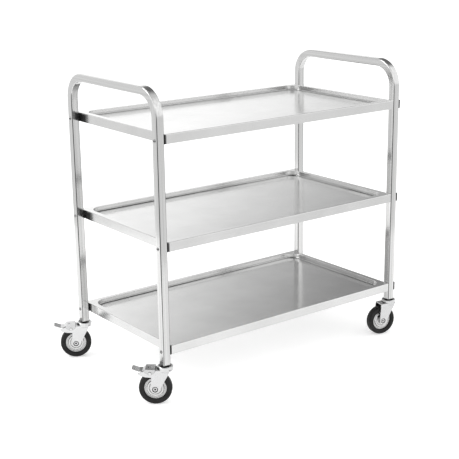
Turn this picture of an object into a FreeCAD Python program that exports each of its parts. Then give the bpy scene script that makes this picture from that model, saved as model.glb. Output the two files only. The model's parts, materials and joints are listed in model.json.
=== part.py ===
import FreeCAD, Part
import math
import os

# Three-tier food service trolley. Millimetres, +Z up, X along the long side.
# Origin: on the floor, under the middle of the overall box, pedals included.
# The shapes are first built about the middle of the end frames and moved when they are saved.

Vec = FreeCAD.Vector
X_DIR = Vec(1, 0, 0)
Y_DIR = Vec(0, 1, 0)
Z_DIR = Vec(0, 0, 1)
ORIGIN = Vec(0, 0, 0)

# ---- driving dimensions ----
shift_x = 33.84             # from the middle of the end frames to the origin's place
shift_y = -17.47

# frame
length = 950.0              # over the outer faces of the posts
width = 500.0               # over the outer faces of the posts
height = 940.0              # floor to the top of the handles
tube = 25.0                 # square tube of the end frames
tube_wall = 1.2
tube_corner = 3.2           # radius along the tube's edges
handle_bend = 85.0          # outside radius of the handle bends
post_bottom = 123.5         # height of the posts' lower ends

# shelves
rim_heights = {"bottom": 182.0, "middle": 497.0, "top": 811.0}
pad_thickness = 4.0         # black pad on the +X side of every post at each shelf
tray_width = 502.0
sheet = 1.2
skirt = 28.0                # height of the band round a shelf
rim = 18.0                  # width of the flat rim
recess_depth = 15.0
recess_corner = 42.0        # radius of the recess corners in plan
recess_fold = 3.0           # radius where the recess wall meets its floor
tray_corner = 4.0           # radius of the shelf's upright corners
rim_fold = 2.2              # radius where the rim turns down into the skirt
flange = 28.0               # end flange that lies behind a post
window = 31.0               # opening in the end skirt beside that flange
windowed = ("middle", "top")

# black inserts that fill the openings in the end skirts of the upper two shelves
insert_depth = 10.0
insert_lap = 3.0            # how far an insert reaches behind the skirt
insert_recess = 0.5         # face of the insert behind the skirt's face
insert_play = 0.3
window_top = 5.0            # below the rim

# stiffener under a shelf
stiffener_length = 820.0
stiffener_width = 70.0
stiffener_height = 9.5
stiffener_lip = 14.0

# shelf bolts
bolt_radius = 3.0
bolt_hole_radius = 3.2
bolt_drop = 17.0            # bolt axis below the rim
bolt_head_radius = 5.25
bolt_head_height = 3.0
bolt_dome = 7.0             # radius of the head's dome
socket_flats = 4.0
socket_depth = 2.0
bolt_end = 8.0              # length past the shelf's end flange
pad_width = 18.5
pad_inset = 0.5             # behind the post's outer side face
pad_top = 1.5               # below the rim
nut_flats = 10.0
nut_thickness = 5.0

# casters: a local frame for each, U along the trail, V along the axle
wheel_radius = 50.0
trail = 30.0                # axle behind the swivel axis
caster_turn = {"lf": 141.0, "lb": 150.0, "rf": 167.0, "rb": 160.0}
braked = ("lf", "lb")

fork_inside = 17.0          # half the space between the legs
fork_sheet = 2.5
fork_top = 111.0
fork_front = -17.0          # swivel end of the top plate
fork_back = 38.0            # trailing end of the top plate
fork_foot_radius = 12.5
foot_dish = 3.0             # the feet are pressed in about the axle
foot_dish_radius = 9.0
foot_pad_radius = 11.5
fork_bend = 2.2
race_radius = 22.8          # lower race pressed into the fork
race_bottom = 104.5
race_top = 111.3

head_radius = 23.5          # upper race, fixed to the stem
head_bottom = 111.6
head_top = 120.0
head_floor = 118.2          # bottom of the dish in its top
head_ceiling = 116.8        # roof of the ball space
ball_radius = 2.5
ball_circle = 17.0
ball_height = 114.3
ball_count = 14

stem_radius = 6.0
stem_bottom = 98.8
stem_top = 158.0
stem_collar_flats = 19.0
stem_collar_top = 121.5
running_clearance = 0.05
plug_length = 36.0
plug_side = 22.2
plug_flange = 2.0
swivel_nut_bottom = 99.2
swivel_nut_top = 104.2

axle_radius = 4.0
axle_bore = 2.6             # the axle is a hollow rivet
axle_head_radius = 7.0
axle_head = 1.8
sleeve_radius = 6.0
barrel_radius = 9.5
barrel_half = 13.4

tyre_inner = 31.6
tyre_shelf = 33.2           # where the sidewall starts outside the hub disc
tyre_half = 13.4
tyre_tread_half = 5.0
tyre_shoulder = 44.0
disc_sheet = 1.6
shelf_v = 5.8               # half the space between the hub discs' rims

# brake pedal, in the caster's local U and Z
pivot_u = 44.0
pivot_z = 102.5
pin_radius = 2.5
pin_head_radius = 4.2
pin_head = 1.5
pedal_sheet = 2.0
pedal_flange_inside = 20.0
pedal_start = 29.0
pedal_level = 114.0
pedal_wide_end = 60.0
pedal_hole_radius = 2.6
pedal_hole_u = 50.0
tongue_half = 16.0
tongue_tip = 98.0
tongue_corner = 7.0
heel_half = 11.0
heel_bottom = 95.0

post_x = (length - tube) / 2
post_y = (width - tube) / 2
tray_half_x = (length - 2 * tube - pad_thickness) / 2
tray_x = pad_thickness / 2  # middle of the shelves
tray_half_y = tray_width / 2
ENDS = {"left": -1, "right": 1}
CASTERS = {"lf": (-post_x, -post_y), "lb": (-post_x, post_y),
           "rf": (post_x, -post_y), "rb": (post_x, post_y)}


# ---- helpers ----
def save(name, shapes):
    """Write one node; several solids make a group of separate pieces."""
    solids = [solid for shape in shapes for solid in shape.Solids]
    whole = solids[0] if len(solids) == 1 else Part.makeCompound(solids)
    whole.translate(Vec(shift_x, shift_y, 0))
    whole.exportStep("parts/" + name + ".step")


def upright_edges(shape):
    def is_upright(edge):
        tangent = edge.tangentAt(edge.FirstParameter)
        return abs(tangent.z) > 0.999 and edge.Curve.TypeId == "Part::GeomLine"
    return [edge for edge in shape.Edges if is_upright(edge)]


def edges_at(shape, z):
    def is_level(edge):
        box = edge.BoundBox
        return abs(box.ZMin - z) < 0.01 and abs(box.ZMax - z) < 0.01
    return [edge for edge in shape.Edges if is_level(edge)]


def centred_box(half_x, half_y, z_low, z_high, corner=0.0):
    """A block about the Z axis, with its upright edges rounded."""
    size = (2 * half_x, 2 * half_y, z_high - z_low)
    box = Part.makeBox(*size, Vec(-half_x, -half_y, z_low))
    if corner:
        box = box.makeFillet(corner, upright_edges(box))
    return box


def block(low, high):
    size = [b - a for a, b in zip(low, high)]
    return Part.makeBox(*size, Vec(*low))


def hexagon(flats, length_along, at, axis):
    """A hexagonal prism from a point along an axis."""
    radius = flats / math.sqrt(3)
    turn = FreeCAD.Rotation(Z_DIR, axis)
    corners = []
    for i in range(7):
        angle = math.radians(60 * i)
        corner = Vec(radius * math.cos(angle), radius * math.sin(angle), 0)
        corners.append(at + turn.multVec(corner))
    face = Part.Face(Part.makePolygon(corners))
    return face.extrude(axis * length_along)


def outline_prism(outline, v_low, v_high):
    """Extrude a closed outline, given as edges in the U-Z plane, along V."""
    face = Part.Face(Part.Wire(Part.sortEdges(outline)[0]))
    face.translate(Vec(0, v_low, 0))
    return face.extrude(Y_DIR * (v_high - v_low))


def polygon_edges(points, closed=True):
    """Straight edges through (u, z) points."""
    vectors = [Vec(u, 0, z) for u, z in points]
    ends = vectors[1:] + vectors[:1] if closed else vectors[1:]
    return [Part.makeLine(a, b) for a, b in zip(vectors, ends)]


def turned(profile, centre_u=trail, centre_z=wheel_radius):
    """Turn a closed (radius, v) profile about the wheel's axle."""
    points = [Vec(centre_u, v, centre_z + r) for r, v in profile]
    face = Part.Face(Part.makePolygon(points + points[:1]))
    return face.revolve(Vec(centre_u, 0, centre_z), Y_DIR, 360)


def spun(profile):
    """Turn a closed (radius, z) profile about the swivel axis."""
    points = [Vec(r, 0, z) for r, z in profile]
    face = Part.Face(Part.makePolygon(points + points[:1]))
    return face.revolve(ORIGIN, Z_DIR, 360)


def place_caster(shape, key):
    """Move a shape from a caster's local frame to its post."""
    x, y = CASTERS[key]
    placed = shape.copy()
    placed.rotate(ORIGIN, Z_DIR, caster_turn[key])
    placed.translate(Vec(x, y, 0))
    return placed


def rod(radius, v_low, v_high, u=trail, z=wheel_radius):
    """A cylinder along V."""
    return Part.makeCylinder(radius, v_high - v_low, Vec(u, v_low, z), Y_DIR)


# ---- end frames ----
def bent_tube(side, corner, x):
    """A square section swept up one post, over the handle and down the other."""
    centre_bend = handle_bend - tube / 2
    z_bend = height - handle_bend
    z_top = height - tube / 2
    y_bend = post_y - centre_bend
    slant = centre_bend * math.sqrt(0.5)
    front_low = Vec(x, -post_y, post_bottom)
    front_bend = Vec(x, -post_y, z_bend)
    front_mid = Vec(x, -y_bend - slant, z_bend + slant)
    front_top = Vec(x, -y_bend, z_top)
    back_top = Vec(x, y_bend, z_top)
    back_mid = Vec(x, y_bend + slant, z_bend + slant)
    back_bend = Vec(x, post_y, z_bend)
    back_low = Vec(x, post_y, post_bottom)
    path = Part.Wire([
        Part.makeLine(front_low, front_bend),
        Part.Arc(front_bend, front_mid, front_top).toShape(),
        Part.makeLine(front_top, back_top),
        Part.Arc(back_top, back_mid, back_bend).toShape(),
        Part.makeLine(back_bend, back_low),
    ])
    section = centred_box(side / 2, side / 2, post_bottom, height, corner)
    wire = [face for face in section.Faces if face.normalAt(0, 0).z < -0.99][0].OuterWire
    wire.translate(Vec(x, -post_y, 0))
    return path.makePipeShell([wire], True, False)


def bolt_axes(tray_name, end):
    """Points on the two shelf bolts at one end, in the plane of the posts' outer faces."""
    z = rim_heights[tray_name] - bolt_drop
    return [Vec(end * length / 2, side * post_y, z) for side in (-1, 1)]


def bolt_seat(centre, end):
    """Where the bolt's head sits: on the post at the left, on the pad at the right."""
    return centre + X_DIR * pad_thickness if end > 0 else centre


def end_frame(end):
    x = end * post_x
    inside = tube - 2 * tube_wall
    frame = bent_tube(tube, tube_corner, x).cut(bent_tube(inside, tube_corner - tube_wall, x))
    for tray_name in rim_heights:
        for centre in bolt_axes(tray_name, end):
            inward = X_DIR * -end
            start = centre - inward
            frame = frame.cut(Part.makeCylinder(bolt_hole_radius, tube + 2, start, inward))
    return frame


# ---- shelves ----
def skirt_opening(end, side, top):
    """The space to cut for one opening in an end skirt."""
    face_x = end * tray_half_x
    y_outer = side * (tray_half_y - flange)
    y_inner = side * (tray_half_y - flange - window)
    low = (face_x - 2, min(y_outer, y_inner), top - skirt - 1)
    high = (face_x + 2, max(y_outer, y_inner), top - window_top)
    return block(low, high)


def tray(name):
    """One shelf, about the Z axis."""
    top = rim_heights[name]
    low = top - skirt
    outside = centred_box(tray_half_x, tray_half_y, low, top, tray_corner)
    outside = outside.makeFillet(rim_fold, edges_at(outside, top))
    hollow = centred_box(tray_half_x - sheet, tray_half_y - sheet, low - 1, top - sheet,
                         tray_corner - sheet)
    hollow = hollow.makeFillet(rim_fold - sheet, edges_at(hollow, top - sheet))
    floor = top - recess_depth
    pan_x = tray_half_x - rim
    pan_y = tray_half_y - rim
    pan_outside = centred_box(pan_x + sheet, pan_y + sheet, floor - sheet, top - sheet / 2,
                              recess_corner + sheet)
    pan_outside = pan_outside.makeFillet(recess_fold + sheet, edges_at(pan_outside, floor - sheet))
    pan_inside = centred_box(pan_x, pan_y, floor, top + 1, recess_corner)
    pan_inside = pan_inside.makeFillet(recess_fold, edges_at(pan_inside, floor))
    shelf = outside.cut(hollow).fuse(pan_outside).cut(pan_inside)
    shelf = round_recess_edge(shelf, top, pan_x, pan_y)
    for end in ENDS.values():
        if name in windowed:
            for side in (-1, 1):
                shelf = shelf.cut(skirt_opening(end, side, top))
        for centre in bolt_axes(name, end):
            hole = Part.makeCylinder(bolt_hole_radius, 2 * tube, centre, X_DIR * -end)
            shelf = shelf.cut(hole)
    shelf.translate(Vec(tray_x, 0, 0))
    return shelf


def tray_insert(name, end, side):
    """A block behind an end skirt's opening, with a pad that fills the opening."""
    top = rim_heights[name]
    y_near = tray_half_y - flange - window
    y_far = tray_half_y - flange
    back = tray_half_x - sheet - insert_depth
    skirt_inside = tray_half_x - sheet
    block_low = (back, y_near - insert_lap, top - skirt)
    block_high = (skirt_inside, y_far + insert_lap, top - window_top + 2)
    pad_low = (back, y_near + insert_play, top - skirt)
    pad_high = (tray_half_x - insert_recess, y_far - insert_play, top - window_top - insert_play)
    insert = block(block_low, block_high).fuse(block(pad_low, pad_high)).removeSplitter()
    if end < 0:
        insert = insert.mirror(ORIGIN, X_DIR)
    if side < 0:
        insert = insert.mirror(ORIGIN, Y_DIR)
    insert.translate(Vec(tray_x, 0, 0))
    return insert


def round_recess_edge(shelf, top, pan_x, pan_y):
    """Round the fold where the rim turns down into the recess."""
    def bounds_recess(edge):
        box = edge.BoundBox
        return max(abs(box.XMin), abs(box.XMax)) < pan_x + 0.1 and \
            max(abs(box.YMin), abs(box.YMax)) < pan_y + 0.1
    fold = [edge for edge in edges_at(shelf, top) if bounds_recess(edge)]
    return shelf.makeFillet(sheet * 0.8, fold)


def stiffener(name):
    """A hat-section channel against the underside of the recess floor."""
    roof = rim_heights[name] - recess_depth - sheet
    low = roof - stiffener_height
    half_x = stiffener_length / 2
    half_y = stiffener_width / 2
    outer = block((-half_x, -half_y, low), (half_x, half_y, roof))
    inner = block((-half_x, -half_y + sheet, low + sheet), (half_x, half_y - sheet, roof))
    channel = outer.cut(inner)
    for side in (-1, 1):
        near = side * half_y
        far = side * (half_y + stiffener_lip)
        lip = block((-half_x, min(near, far), roof - sheet), (half_x, max(near, far), roof))
        channel = channel.fuse(lip)
    return channel.removeSplitter()


def tray_bolt(centre, end):
    """A button-head bolt through the post and the pad into the shelf."""
    inward = X_DIR * -end
    seat = bolt_seat(centre, end)
    shank = Part.makeCylinder(bolt_radius, pad_thickness + tube + bolt_end, seat, inward)
    dome = Part.makeSphere(bolt_dome, seat + inward * (bolt_dome - bolt_head_height))
    disc = Part.makeCylinder(bolt_head_radius, bolt_head_height, seat, X_DIR * end)
    socket_floor = seat + X_DIR * end * (bolt_head_height - socket_depth)
    socket = hexagon(socket_flats, socket_depth + 1, socket_floor, X_DIR * end)
    return shank.fuse(disc.common(dome)).cut(socket).removeSplitter()


def post_pad(centre, end):
    """A black pad as high as the shelf's band, on the +X side of a post, at its outer edge."""
    face = length / 2 if end > 0 else tube - length / 2
    rim_height = centre.z + bolt_drop
    side = math.copysign(1, centre.y)
    y_outer = centre.y + side * (tube / 2 - pad_inset)
    y_inner = y_outer - side * pad_width
    low = (face, min(y_outer, y_inner), rim_height - skirt)
    high = (face + pad_thickness, max(y_outer, y_inner), rim_height - pad_top)
    start = Vec(face - 1, centre.y, centre.z)
    hole = Part.makeCylinder(bolt_hole_radius, pad_thickness + 2, start, X_DIR)
    return block(low, high).cut(hole)


def tray_nut(centre, end):
    inward = X_DIR * -end
    face = bolt_seat(centre, end) + inward * (pad_thickness + tube + sheet)
    nut = hexagon(nut_flats, nut_thickness, face, inward)
    return nut.cut(Part.makeCylinder(bolt_radius, nut_thickness, face, inward))


# ---- fixed half of a caster ----
def stem_plug():
    body = centred_box(plug_side / 2, plug_side / 2, post_bottom, post_bottom + plug_length,
                       tube_corner - tube_wall)
    collar = centred_box(tube / 2, tube / 2, post_bottom - plug_flange, post_bottom, tube_corner)
    bore = Part.makeCylinder(stem_radius, plug_length + plug_flange + 2,
                             Vec(0, 0, post_bottom - plug_flange - 1))
    return body.fuse(collar).cut(bore)


def caster_stem():
    stem = Part.makeCylinder(stem_radius, stem_top - stem_bottom, Vec(0, 0, stem_bottom))
    collar = hexagon(stem_collar_flats, stem_collar_top - head_floor, Vec(0, 0, head_floor), Z_DIR)
    return stem.fuse(collar).removeSplitter()


def caster_head():
    """The dished upper race, with the ball space under it."""
    bevel = 1.3
    skirt_inside = head_radius - 2.2
    hub_outside = 12.5
    dish_radius = 17.5
    return spun([
        (stem_radius, head_bottom + 0.4), (hub_outside, head_bottom + 0.4),
        (hub_outside, head_ceiling), (skirt_inside, head_ceiling),
        (skirt_inside, head_bottom), (head_radius, head_bottom),
        (head_radius, head_top - bevel), (head_radius - bevel, head_top),
        (dish_radius + bevel, head_top), (dish_radius, head_floor),
        (stem_radius, head_floor),
    ])


def swivel_nut():
    nut = hexagon(stem_collar_flats, swivel_nut_top - swivel_nut_bottom,
                  Vec(0, 0, swivel_nut_bottom), Z_DIR)
    bore = Part.makeCylinder(stem_radius, swivel_nut_top, Vec(0, 0, swivel_nut_bottom - 1))
    return nut.cut(bore)


def swivel_balls():
    balls = []
    for i in range(ball_count):
        angle = 2 * math.pi * i / ball_count
        centre = Vec(ball_circle * math.cos(angle), ball_circle * math.sin(angle), ball_height)
        balls.append(Part.makeSphere(ball_radius, centre))
    return balls


# ---- fork ----
def leg_outline():
    """One leg in the U-Z plane: wide at the top, a round foot about the axle."""
    front_top = (fork_front, fork_top)
    front_break = (-9.0, 95.0)
    foot_front = (trail - 11.9, wheel_radius - 4.0)
    foot_low = (trail, wheel_radius - fork_foot_radius)
    foot_back = (trail + fork_foot_radius, wheel_radius + 1.0)
    back_waist = (trail + 10.6, 84.0)
    back_top = (fork_back, fork_top)
    arc = Part.Arc(*[Vec(u, 0, z) for u, z in (foot_front, foot_low, foot_back)]).toShape()
    down = polygon_edges([front_top, front_break, foot_front], closed=False)
    up = polygon_edges([foot_back, back_waist, back_top, front_top], closed=False)
    return down + [arc] + up


def brake_ear_outline():
    """The long ear above the tyre that carries the brake pedal."""
    return polygon_edges([
        (fork_back - 6.0, fork_top), (trail + 10.0, 88.0), (58.0, 89.5), (76.0, 95.0),
        (81.0, 101.0), (73.0, 104.0), (60.0, fork_top - 2.5),
    ])


def fork(has_brake):
    outside = fork_inside + fork_sheet
    plate = block((fork_front, -outside, fork_top - fork_sheet), (fork_back, outside, fork_top))
    shape = plate
    for v_low in (-outside, fork_inside):
        shape = shape.fuse(outline_prism(leg_outline(), v_low, v_low + fork_sheet))
        if has_brake:
            ear = outline_prism(brake_ear_outline(), v_low, v_low + fork_sheet)
            shape = shape.fuse(ear)
    shape = shape.removeSplitter()
    shape = round_fork_bends(shape, outside)
    pad_face = fork_inside - foot_dish
    for v_low, dish_low in ((pad_face, outside - foot_dish), (-fork_inside, -outside)):
        shape = shape.fuse(rod(foot_pad_radius, v_low, v_low + foot_dish))
        shape = shape.cut(rod(foot_dish_radius, dish_low, dish_low + foot_dish))
    race = Part.makeCylinder(race_radius, race_top - race_bottom, Vec(0, 0, race_bottom))
    race = race.makeFillet(fork_bend, edges_at(race, race_bottom))
    shape = shape.fuse(race)
    king_hole = Part.makeCylinder(stem_radius + running_clearance, 2 * race_top, ORIGIN)
    shape = shape.cut(king_hole)
    shape = shape.cut(rod(axle_radius + running_clearance, -outside - 1, outside + 1))
    if has_brake:
        shape = shape.cut(rod(pin_radius, -outside - 1, outside + 1, pivot_u, pivot_z))
    return shape.removeSplitter()


def round_fork_bends(shape, outside):
    """Round the two long edges where the top plate bends into the legs."""
    def is_bend(edge):
        box = edge.BoundBox
        level = abs(box.ZMin - fork_top) < 0.01 and abs(box.ZMax - fork_top) < 0.01
        at_side = abs(abs(box.YMin) - outside) < 0.01 and abs(abs(box.YMax) - outside) < 0.01
        return level and at_side and box.XLength > tube
    return shape.makeFillet(fork_bend, [edge for edge in shape.Edges if is_bend(edge)])


# ---- wheel and axle ----
def tyre():
    """Solid tyre, with a shelf each side for the hub disc's rim."""
    right = [(tyre_inner, shelf_v), (tyre_shelf, shelf_v), (tyre_shelf, tyre_half - 4.0),
             (tyre_shelf + 1.4, tyre_half - 1.4), (tyre_shelf + 4.0, tyre_half),
             (tyre_shoulder, tyre_half)]
    steps = 6
    for i in range(1, steps + 1):
        angle = math.radians(90 * i / steps)
        r = tyre_shoulder + (wheel_radius - tyre_shoulder) * math.sin(angle)
        v = tyre_tread_half + (tyre_half - tyre_tread_half) * math.cos(angle)
        right.append((r, v))
    left = [(r, -v) for r, v in reversed(right)]
    return turned(right + left)


def hub_disc():
    """One pressed hub disc, with its rings, on the +V side."""
    rim_face = shelf_v + disc_sheet
    rings = [(barrel_radius, 12.6), (11.6, 12.6), (13.4, 6.6), (17.5, 6.0), (20.0, 8.2),
             (24.5, 8.2), (27.0, 5.6), (29.4, 5.6), (31.0, rim_face), (33.0, rim_face)]
    inner = [(r, v - disc_sheet) for r, v in reversed(rings)]
    return turned(rings + inner)


def hub_discs():
    disc = hub_disc()
    return [disc, disc.mirror(Vec(trail, 0, wheel_radius), Y_DIR)]


def hub_barrel():
    bore = sleeve_radius + running_clearance
    return rod(barrel_radius, -barrel_half, barrel_half).cut(rod(bore, -barrel_half, barrel_half))


def axle_sleeve():
    bore = axle_radius + running_clearance
    half = fork_inside - foot_dish
    return rod(sleeve_radius, -half, half).cut(rod(bore, -half, half))


def axle_rivet():
    """A hollow rivet through both feet, with a rolled head at each end."""
    face = fork_inside + fork_sheet - foot_dish
    bevel = 0.9
    r = axle_head_radius
    half = [(axle_radius, face), (r, face), (r, face + axle_head - bevel),
            (r - bevel, face + axle_head), (axle_bore + bevel, face + axle_head),
            (axle_bore, face + axle_head - bevel)]
    other = [(r, -v) for r, v in reversed(half)]
    return turned(half + other)


# ---- brake ----
def brake_pedal():
    """A pressed lever over the fork: two cheeks on the pin, a heel and a tongue."""
    outside = pedal_flange_inside + pedal_sheet
    top_line = [(pedal_start, pedal_level), (58.0, pedal_level), (67.0, 107.5), (77.0, 107.5),
                (tongue_tip, 115.0)]
    under_line = [(u, z - pedal_sheet) for u, z in reversed(top_line)]
    strip = outline_prism(polygon_edges(top_line + under_line), -outside, outside)
    wide = block((pedal_start - 1, -outside, 0), (pedal_wide_end, outside, height))
    narrow = block((pedal_hole_u, -tongue_half, 0), (tongue_tip + 1, tongue_half, height))
    outer_corners = [edge for edge in upright_edges(narrow) if edge.BoundBox.XMin > tongue_tip]
    narrow = narrow.makeFillet(tongue_corner, outer_corners)
    pedal = strip.common(wide.fuse(narrow))
    cheek = polygon_edges([
        (pedal_start, pedal_level - 1.0), (pedal_start, 107.0), (37.0, 101.0),
        (pivot_u - 3.5, 98.2), (pivot_u + 3.5, 98.2), (52.0, 101.5),
        (pedal_wide_end, 106.5), (pedal_wide_end, 111.5), (58.0, pedal_level - 1.0),
    ])
    for v_low in (-outside, pedal_flange_inside):
        pedal = pedal.fuse(outline_prism(cheek, v_low, v_low + pedal_sheet))
    heel = polygon_edges([
        (55.5, pedal_level - 1.0), (56.0, heel_bottom), (59.5, heel_bottom),
        (59.0, pedal_level - 2.0),
    ])
    pedal = pedal.fuse(outline_prism(heel, -heel_half, heel_half))
    pin_hole = rod(pin_radius + running_clearance, -outside - 1, outside + 1, pivot_u, pivot_z)
    top_hole = Part.makeCylinder(pedal_hole_radius, 2 * pedal_sheet,
                                 Vec(pedal_hole_u, 0, pedal_level - pedal_sheet - 1))
    return pedal.cut(pin_hole).cut(top_hole).removeSplitter()


def brake_pin():
    outside = pedal_flange_inside + pedal_sheet + 0.3
    pin = rod(pin_radius, -outside, outside, pivot_u, pivot_z)
    for v_low in (-outside - pin_head, outside):
        pin = pin.fuse(rod(pin_head_radius, v_low, v_low + pin_head, pivot_u, pivot_z))
    return pin.removeSplitter()


# ---- write every node ----
def write_frame():
    for side, end in ENDS.items():
        save(side + "_end_frame", [end_frame(end)])
    for name in rim_heights:
        save(name + "_tray", [tray(name)])
        save(name + "_stiffener", [stiffener(name)])
        places = [(centre, end) for end in ENDS.values() for centre in bolt_axes(name, end)]
        save(name + "_tray_bolts", [tray_bolt(*place) for place in places])
        save(name + "_post_pads", [post_pad(*place) for place in places])
        save(name + "_tray_nuts", [tray_nut(*place) for place in places])
    corners = [(end, side) for end in ENDS.values() for side in (-1, 1)]
    for name in windowed:
        save(name + "_tray_inserts", [tray_insert(name, end, side) for end, side in corners])


def write_casters():
    fixed = {"stem_plugs": [stem_plug()], "caster_stems": [caster_stem()],
             "caster_heads": [caster_head()], "swivel_nuts": [swivel_nut()],
             "swivel_balls": swivel_balls()}
    for node, shapes in fixed.items():
        placed = []
        for x, y in CASTERS.values():
            for shape in shapes:
                copy = shape.copy()
                copy.translate(Vec(x, y, 0))
                placed.append(copy)
        save(node, placed)
    for key in CASTERS:
        turning = {"fork": [fork(key in braked)], "axle_rivet": [axle_rivet()],
                   "axle_sleeve": [axle_sleeve()], "tyre": [tyre()],
                   "hub_discs": hub_discs(), "hub_barrel": [hub_barrel()]}
        if key in braked:
            turning["brake_pedal"] = [brake_pedal()]
            turning["brake_pin"] = [brake_pin()]
        for node, shapes in turning.items():
            save(node + "_" + key, [place_caster(shape, key) for shape in shapes])


os.makedirs("parts", exist_ok=True)
write_frame()
write_casters()
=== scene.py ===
import json
import math

import bpy
from mathutils import Matrix, Vector


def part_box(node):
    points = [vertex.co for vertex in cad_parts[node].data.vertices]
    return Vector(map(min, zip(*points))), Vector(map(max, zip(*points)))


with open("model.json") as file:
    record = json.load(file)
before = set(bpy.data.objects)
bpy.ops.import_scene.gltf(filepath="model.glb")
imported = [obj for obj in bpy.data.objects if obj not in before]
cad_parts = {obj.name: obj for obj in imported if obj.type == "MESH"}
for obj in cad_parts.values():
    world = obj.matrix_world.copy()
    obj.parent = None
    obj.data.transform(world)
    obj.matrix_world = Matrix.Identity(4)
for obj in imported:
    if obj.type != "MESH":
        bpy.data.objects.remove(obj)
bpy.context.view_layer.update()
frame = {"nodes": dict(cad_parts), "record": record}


def middle_of(*nodes):
    """The middle of the box round some CAD nodes."""
    corners = [Vector(corner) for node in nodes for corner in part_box(node)]
    low = Vector([min(c[i] for c in corners) for i in range(3)])
    high = Vector([max(c[i] for c in corners) for i in range(3)])
    return (low + high) / 2


frame_middle = middle_of("left_end_frame", "right_end_frame")
# The point on the floor under the middle of the two end frames.
home = Vector((frame_middle.x, frame_middle.y, 0.0))


# ---- node materials ----
# Lengths and heights are in metres.

# Noise is read between two values, where nearly all of it lies.
NOISE_LOW = 0.3
NOISE_HIGH = 0.7
NOISE_DETAIL = 3.0
NOISE_ROUGHNESS = 0.55

# How noise is squeezed along X, Y and Z: the same every way, or to long strokes along X.
EVEN = (1.0, 1.0, 1.0)
ALONG_X = (1.0, 40.0, 40.0)

# Metal: its cloudy patches, how far the roughness swings either way, and the grain's strength.
CLOUD_SCALE = 7.0
CLOUD_DETAIL = 4.0
METAL_SWING = 0.2
METAL_BUMP = 0.25

# Painted shade in inside corners, by how much of the view outward is open: full painted shade, and
# none.
PAINTED_SHADE_FULL = 0.5
PAINTED_SHADE_NONE = 0.85
PAINTED_SHADE_SAMPLES = 8
SHEET_PAINTED_SHADE = {"reach": 0.01, "dark": 0.04, "own_folds_only": True}
PLATE_PAINTED_SHADE = {"reach": 0.009, "dark": 0.1, "own_folds_only": False}
HUB_PAINTED_SHADE = {"reach": 0.004, "dark": 0.5, "own_folds_only": False}

# Polished tube: noise scales across and along it, and the range of its tone and roughness.
TUBE_STREAKS = (170.0, 1.2)
TUBE_GRAIN = (700.0, 6.0)
TUBE_DETAIL = 2.5
TUBE_NOISE_ROUGHNESS = 0.5
TUBE_DARK = 0.84
TUBE_LIGHT = 1.12
TUBE_SWING = 0.3
TUBE_BUMP = 0.2
TUBE_BUMP_DEPTH = 0.00004

# The heights between which the streaks turn from up the posts to level over the handle.
HANDLE_START = 0.885
HANDLE_END = 0.925

# The painted dark reflection up each long edge of a post: the tone left in it, the heights between
# which it fades out, and the tones of the tube by how far its surface faces along X.
EDGE_REFLECTION_SHARE = 0.12
EDGE_REFLECTION_FADE_START = 0.82
EDGE_REFLECTION_FADE_END = 0.88
EDGE_REFLECTION_STOPS = ((0.2, 1.0), (0.35, EDGE_REFLECTION_SHARE), (0.75, EDGE_REFLECTION_SHARE), (0.9, 1.0))

# Rubber: noise scales, the tone of the dust on it, and its gloss.
RUBBER_GRAIN = 900.0
RUBBER_CLOUDS = 45.0
DUST_GAIN = 2.2
DUST_LIFT = 0.004
RUBBER_SPECULAR = 0.2
RUBBER_ROUGHNESS = 0.5
RUBBER_GLOSSY = 0.42
RUBBER_MATT = 0.6
RUBBER_BUMP = 0.3
RUBBER_BUMP_DEPTH = 0.0003


def new_material(name, colour, metallic, roughness):
    """A node material and its Principled shader."""
    material = bpy.data.materials.new(name)
    material.use_nodes = True
    shader = material.node_tree.nodes["Principled BSDF"]
    shader.inputs["Base Color"].default_value = (*colour, 1.0)
    shader.inputs["Metallic"].default_value = metallic
    shader.inputs["Roughness"].default_value = roughness
    return material, shader


def stretched_noise(material, stretch, scale, detail=NOISE_DETAIL, roughness=NOISE_ROUGHNESS):
    """Noise in the object's own metres, squeezed along each axis by stretch."""
    nodes, links = material.node_tree.nodes, material.node_tree.links
    place = nodes.new("ShaderNodeTexCoord")
    mapping = nodes.new("ShaderNodeMapping")
    mapping.inputs["Scale"].default_value = stretch
    noise = nodes.new("ShaderNodeTexNoise")
    noise.inputs["Scale"].default_value = scale
    noise.inputs["Detail"].default_value = detail
    noise.inputs["Roughness"].default_value = roughness
    links.new(place.outputs["Object"], mapping.inputs["Vector"])
    links.new(mapping.outputs["Vector"], noise.inputs["Vector"])
    return noise.outputs["Fac"]


def ranged(material, value, value_low, value_high, low, high):
    """Map a value from one range onto another."""
    nodes, links = material.node_tree.nodes, material.node_tree.links
    spread = nodes.new("ShaderNodeMapRange")
    spread.inputs["From Min"].default_value = value_low
    spread.inputs["From Max"].default_value = value_high
    spread.inputs["To Min"].default_value = low
    spread.inputs["To Max"].default_value = high
    links.new(value, spread.inputs["Value"])
    return spread.outputs["Result"]


def tinted(material, value, dark, light):
    """Map a noise value onto two colours."""
    nodes, links = material.node_tree.nodes, material.node_tree.links
    ramp = nodes.new("ShaderNodeValToRGB")
    ramp.color_ramp.elements[0].position = NOISE_LOW
    ramp.color_ramp.elements[0].color = (*dark, 1.0)
    ramp.color_ramp.elements[1].position = NOISE_HIGH
    ramp.color_ramp.elements[1].color = (*light, 1.0)
    links.new(value, ramp.inputs["Fac"])
    return ramp.outputs["Color"]


def scaled(material, colour, factor):
    """A colour multiplied by a value."""
    nodes, links = material.node_tree.nodes, material.node_tree.links
    product = nodes.new("ShaderNodeVectorMath")
    product.operation = "SCALE"
    links.new(colour, product.inputs[0])
    links.new(factor, product.inputs["Scale"])
    return product.outputs["Vector"]


def roughened(material, shader, value, low, high):
    """Let a noise value set the roughness, between two levels."""
    level = ranged(material, value, NOISE_LOW, NOISE_HIGH, low, high)
    material.node_tree.links.new(level, shader.inputs["Roughness"])


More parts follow.
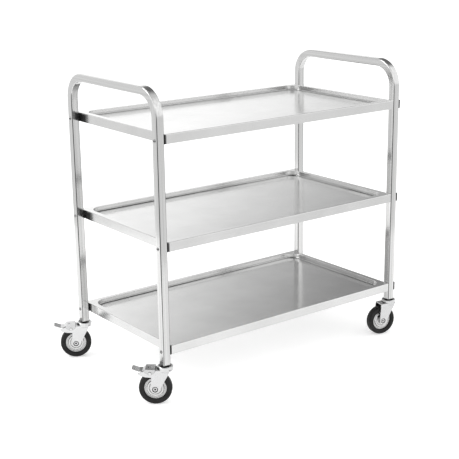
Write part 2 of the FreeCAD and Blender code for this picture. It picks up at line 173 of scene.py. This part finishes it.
def bumped(material, shader, value, strength, depth):
    """Let a noise value lift and sink the surface's shading, by up to depth."""
    nodes, links = material.node_tree.nodes, material.node_tree.links
    bump = nodes.new("ShaderNodeBump")
    bump.inputs["Strength"].default_value = strength
    bump.inputs["Distance"].default_value = depth
    links.new(value, bump.inputs["Height"])
    links.new(bump.outputs["Normal"], shader.inputs["Normal"])


def with_painted_shade(material, colour, reach, dark, own_folds_only):
    """The colour, darkened by painted shade in inside corners, of the piece's own folds or against
    any piece.
    """
    shade = material.node_tree.nodes.new("ShaderNodeAmbientOcclusion")
    shade.only_local = own_folds_only
    shade.samples = PAINTED_SHADE_SAMPLES
    shade.inputs["Distance"].default_value = reach
    keep = ranged(material, shade.outputs["AO"], PAINTED_SHADE_FULL, PAINTED_SHADE_NONE, dark, 1.0)
    return scaled(material, colour, keep)


def metal(name, colour, roughness, grain, grain_scale, grain_depth, haze=0.06, painted_shade=None):
    """Bare metal: fine grain in its gloss, broad cloudy patches in its tone, and painted shade in
    inside corners if asked for.
    """
    material, shader = new_material(name, colour, 1.0, roughness)
    fine = stretched_noise(material, grain, grain_scale)
    broad = stretched_noise(material, EVEN, CLOUD_SCALE, detail=CLOUD_DETAIL)
    dark = tuple(c * (1.0 - haze) for c in colour)
    light = tuple(min(1.0, c * (1.0 + haze)) for c in colour)
    tone = tinted(material, broad, dark, light)
    # Painted shade in inside corners, if asked for.
    if painted_shade:
        tone = with_painted_shade(material, tone, **painted_shade)
    material.node_tree.links.new(tone, shader.inputs["Base Color"])
    roughened(material, shader, fine,
              roughness * (1.0 - METAL_SWING), roughness * (1.0 + METAL_SWING))
    bumped(material, shader, fine, METAL_BUMP, grain_depth)
    return material


def handle_share(material, start, end):
    """Nought on the posts and one on the handle, with a soft step between two heights."""
    nodes, links = material.node_tree.nodes, material.node_tree.links
    place = nodes.new("ShaderNodeTexCoord")
    height = nodes.new("ShaderNodeSeparateXYZ")
    step = nodes.new("ShaderNodeMapRange")
    step.interpolation_type = "SMOOTHSTEP"
    step.inputs["From Min"].default_value = start
    step.inputs["From Max"].default_value = end
    links.new(place.outputs["Object"], height.inputs["Vector"])
    links.new(height.outputs["Z"], step.inputs["Value"])
    return step.outputs["Result"]


def painted_edge_reflection(material):
    """A painted dark reflection: one on the tube's flat sides and the handle, and low round the
    posts' long edges.
    """
    nodes, links = material.node_tree.nodes, material.node_tree.links
    surface = nodes.new("ShaderNodeNewGeometry")
    parts = nodes.new("ShaderNodeSeparateXYZ")
    sideways = nodes.new("ShaderNodeMath")
    sideways.operation = "ABSOLUTE"
    ramp = nodes.new("ShaderNodeValToRGB")
    stops = ramp.color_ramp.elements
    while len(stops) < len(EDGE_REFLECTION_STOPS):
        stops.new(1.0)
    for stop, (position, tone) in zip(stops, EDGE_REFLECTION_STOPS):
        stop.position = position
        stop.color = (tone, tone, tone, 1.0)
    lightest = nodes.new("ShaderNodeMath")
    lightest.operation = "MAXIMUM"
    links.new(surface.outputs["Normal"], parts.inputs["Vector"])
    links.new(parts.outputs["X"], sideways.inputs[0])
    links.new(sideways.outputs["Value"], ramp.inputs["Fac"])
    links.new(ramp.outputs["Color"], lightest.inputs[0])
    links.new(handle_share(material, EDGE_REFLECTION_FADE_START, EDGE_REFLECTION_FADE_END), lightest.inputs[1])
    return lightest.outputs["Value"]


def tube_noise(material, across, along):
    """Noise drawn out along the tube: up the posts, and level over the handle."""
    links = material.node_tree.links
    on_posts, on_handle = [
        stretched_noise(material, stretch, 1.0, detail=TUBE_DETAIL, roughness=TUBE_NOISE_ROUGHNESS)
        for stretch in ((across, across, along), (across, along, across))
    ]
    mix = material.node_tree.nodes.new("ShaderNodeMix")
    links.new(handle_share(material, HANDLE_START, HANDLE_END), mix.inputs["Factor"])
    links.new(on_posts, mix.inputs["A"])
    links.new(on_handle, mix.inputs["B"])
    return mix.outputs["Result"]


def polished_tube(name, colour, roughness):
    """Polished square tube, with soft polishing streaks along it and a painted dark reflection up
    the posts' long edges.
    """
    material, shader = new_material(name, colour, 1.0, roughness)
    streaks = tube_noise(material, *TUBE_STREAKS)
    fine = tube_noise(material, *TUBE_GRAIN)
    dark = tuple(c * TUBE_DARK for c in colour)
    light = tuple(min(1.0, c * TUBE_LIGHT) for c in colour)
    # The streaks' tone, times the painted dark reflection along the posts' edges.
    tone = scaled(material, tinted(material, streaks, dark, light), painted_edge_reflection(material))
    material.node_tree.links.new(tone, shader.inputs["Base Color"])
    roughened(material, shader, fine,
              roughness * (1.0 - TUBE_SWING), roughness * (1.0 + TUBE_SWING))
    bumped(material, shader, fine, TUBE_BUMP, TUBE_BUMP_DEPTH)
    return material


def rubber(name, colour):
    """Moulded black rubber with a fine dusty bloom."""
    material, shader = new_material(name, colour, 0.0, RUBBER_ROUGHNESS)
    shader.inputs["Specular IOR Level"].default_value = RUBBER_SPECULAR
    fine = stretched_noise(material, EVEN, RUBBER_GRAIN)
    broad = stretched_noise(material, EVEN, RUBBER_CLOUDS)
    dust = tuple(c * DUST_GAIN + DUST_LIFT for c in colour)
    tone = tinted(material, broad, colour, dust)
    material.node_tree.links.new(tone, shader.inputs["Base Color"])
    roughened(material, shader, broad, RUBBER_GLOSSY, RUBBER_MATT)
    bumped(material, shader, fine, RUBBER_BUMP, RUBBER_BUMP_DEPTH)
    return material


# The sheet, zinc, pedal and hub finishes carry painted shade in their inside corners.
finishes = {
    "tube": polished_tube("polished_tube", (0.6, 0.6, 0.597), roughness=0.13),
    "sheet": metal("brushed_sheet", (0.63, 0.63, 0.627), roughness=0.17, grain=ALONG_X,
                   grain_scale=14.0, grain_depth=0.00005, haze=0.05, painted_shade=SHEET_PAINTED_SHADE),
    "bolts": metal("stainless_bolts", (0.25, 0.25, 0.25), roughness=0.25, grain=EVEN,
                   grain_scale=300.0, grain_depth=0.00005),
    "zinc": metal("zinc_plate", (0.6, 0.602, 0.605), roughness=0.22, grain=EVEN,
                  grain_scale=160.0, grain_depth=0.00008, painted_shade=PLATE_PAINTED_SHADE),
    # The pedal's zinc, darker than the rest as painted shade.
    "pedal": metal("shaded_zinc_pedal", (0.5, 0.502, 0.505), roughness=0.22, grain=EVEN,
                   grain_scale=160.0, grain_depth=0.00008, painted_shade=PLATE_PAINTED_SHADE),
    "hub": metal("pressed_hub", (0.58, 0.58, 0.58), roughness=0.26, grain=EVEN,
                 grain_scale=200.0, grain_depth=0.00006, painted_shade=HUB_PAINTED_SHADE),
    "plug": rubber("black_plug", (0.01, 0.01, 0.01)),
    "tyre": rubber("black_tyre", (0.006, 0.006, 0.006)),
}

slot_of = {part["node"]: part["material_slot"] for part in frame["record"]["subparts"]}
for node, piece in frame["nodes"].items():
    piece.data.materials.clear()
    piece.data.materials.append(finishes[slot_of[node]])


# ---- floor ----
FLOOR_RADIUS = 2.0
FLOOR_OFFSET = Vector((0.45, 0.6, 0.0))
FLOOR_SIDES = 96
FLOOR_COLOUR = (0.93, 0.93, 0.93)
FLOOR_ROUGHNESS = 0.7
FLOOR_SPECULAR = 0.2
FLOOR_GLOW = 0.38


def make_floor():
    """A pale round sheet that merges with the white of the studio."""
    centre = home + FLOOR_OFFSET
    corners = []
    for i in range(FLOOR_SIDES):
        angle = 2.0 * math.pi * i / FLOOR_SIDES
        corners.append(centre + FLOOR_RADIUS * Vector((math.cos(angle), math.sin(angle), 0.0)))
    mesh = bpy.data.meshes.new("floor")
    mesh.from_pydata(corners, [], [tuple(range(FLOOR_SIDES))])
    floor = bpy.data.objects.new("floor", mesh)
    bpy.context.scene.collection.objects.link(floor)
    material, shader = new_material("pale_floor", FLOOR_COLOUR, 0.0, FLOOR_ROUGHNESS)
    shader.inputs["Specular IOR Level"].default_value = FLOOR_SPECULAR
    shader.inputs["Emission Color"].default_value = (1.0, 1.0, 1.0, 1.0)
    shader.inputs["Emission Strength"].default_value = FLOOR_GLOW
    mesh.materials.append(material)


# ---- light ----
WORLD_STRENGTH = 1.38
# Azimuth from +Y toward +X and elevation, the angles off them where a patch is full and where
# it has faded out, all in degrees, and the share of the light it takes away.
DARK_PATCHES = (
    (0.0, -90.0, 87.0, 93.0, 0.27),
    (62.0, 32.0, 16.0, 34.0, 0.85),
    (222.0, -24.0, 28.0, 44.0, 0.7),
    (322.0, 30.0, 9.0, 18.0, 0.8),
    (0.0, 90.0, 15.0, 50.0, 0.5),
)
# The key light: its side in metres, its power in watts, and its place as seen from home.
KEY_SIDE = 1.2
KEY_POWER = 25.0
KEY_OFFSET = Vector((-2.5, 1.4, 2.4))


def make_key_light():
    """A soft square light from above the left end, aimed at the middle of the frames."""
    light = bpy.data.lights.new("key", "AREA")
    light.shape = "RECTANGLE"
    light.size = KEY_SIDE
    light.size_y = KEY_SIDE
    light.energy = KEY_POWER
    place = home + KEY_OFFSET
    lamp = bpy.data.objects.new("key", light)
    lamp.location = place
    lamp.rotation_euler = (frame_middle - place).to_track_quat("-Z", "Y").to_euler()
    bpy.context.scene.collection.objects.link(lamp)


def patch(tree, direction, azimuth, elevation, inner, outer):
    """One at a compass direction of the studio, fading to nought between two angles off it."""
    az = math.radians(azimuth)
    el = math.radians(elevation)
    aim = (math.sin(az) * math.cos(el), math.cos(az) * math.cos(el), math.sin(el))
    dot = tree.nodes.new("ShaderNodeVectorMath")
    dot.operation = "DOT_PRODUCT"
    dot.inputs[1].default_value = aim
    fade = tree.nodes.new("ShaderNodeMapRange")
    fade.interpolation_type = "SMOOTHSTEP"
    fade.inputs["From Min"].default_value = math.cos(math.radians(outer))
    fade.inputs["From Max"].default_value = math.cos(math.radians(inner))
    tree.links.new(direction, dot.inputs[0])
    tree.links.new(dot.outputs["Value"], fade.inputs["Value"])
    return fade.outputs["Result"]


def make_world():
    """A white studio; a few dark patches, seen only in the metal, give it its darker streaks."""
    world = bpy.data.worlds.new("studio")
    world.use_nodes = True
    bpy.context.scene.world = world
    tree = world.node_tree
    background = tree.nodes["Background"]
    place = tree.nodes.new("ShaderNodeTexCoord")
    white = tree.nodes.new("ShaderNodeValue")
    white.outputs[0].default_value = WORLD_STRENGTH
    level = white.outputs[0]
    for azimuth, elevation, inner, outer, share in DARK_PATCHES:
        amount = patch(tree, place.outputs["Generated"], azimuth, elevation, inner, outer)
        keep = tree.nodes.new("ShaderNodeMath")
        keep.operation = "MULTIPLY_ADD"
        keep.inputs[1].default_value = -share
        keep.inputs[2].default_value = 1.0
        dim = tree.nodes.new("ShaderNodeMath")
        dim.operation = "MULTIPLY"
        tree.links.new(amount, keep.inputs[0])
        tree.links.new(keep.outputs["Value"], dim.inputs[0])
        tree.links.new(level, dim.inputs[1])
        level = dim.outputs["Value"]
    path = tree.nodes.new("ShaderNodeLightPath")
    shown = tree.nodes.new("ShaderNodeMix")
    tree.links.new(path.outputs["Is Camera Ray"], shown.inputs["Factor"])
    tree.links.new(level, shown.inputs["A"])
    tree.links.new(white.outputs[0], shown.inputs["B"])
    background.inputs["Color"].default_value = (1.0, 1.0, 1.0, 1.0)
    tree.links.new(shown.outputs["Result"], background.inputs["Strength"])


# ---- camera ----
# Angles are in degrees, distances in metres, the lens and sensor in millimetres.
CAMERA_AZIMUTH = -37.47
CAMERA_ELEVATION = 15.78
CAMERA_ROLL = -0.63
CAMERA_DISTANCE = 3.5957
AIM_HEIGHT = 0.4062
SENSOR_WIDTH = 36.0
LENS = 85.59
SHIFT_X = -0.0208
SHIFT_Y = -0.0038
CLIP_END = 100.0


def make_camera():
    """A long lens to the front left, looking a little down on the trolley."""
    azimuth = math.radians(CAMERA_AZIMUTH)
    elevation = math.radians(CAMERA_ELEVATION)
    roll = math.radians(CAMERA_ROLL)
    target = home + Vector((0.0, 0.0, AIM_HEIGHT))
    back = Vector((math.sin(azimuth) * math.cos(elevation),
                   -math.cos(azimuth) * math.cos(elevation), math.sin(elevation)))
    right = Vector((0.0, 0.0, 1.0)).cross(back).normalized()
    up = back.cross(right)
    tilted_right = right * math.cos(roll) + up * math.sin(roll)
    tilted_up = up * math.cos(roll) - right * math.sin(roll)
    data = bpy.data.cameras.new("camera")
    data.sensor_width = SENSOR_WIDTH
    data.lens = LENS
    data.shift_x = SHIFT_X
    data.shift_y = SHIFT_Y
    data.clip_end = CLIP_END
    camera = bpy.data.objects.new("camera", data)
    turn = Matrix((tilted_right, tilted_up, back)).transposed().to_4x4()
    camera.matrix_world = Matrix.Translation(target + back * CAMERA_DISTANCE) @ turn
    bpy.context.scene.collection.objects.link(camera)
    bpy.context.scene.camera = camera


make_floor()
make_world()
make_key_light()
make_camera()
bpy.context.scene.view_settings.view_transform = "Standard"
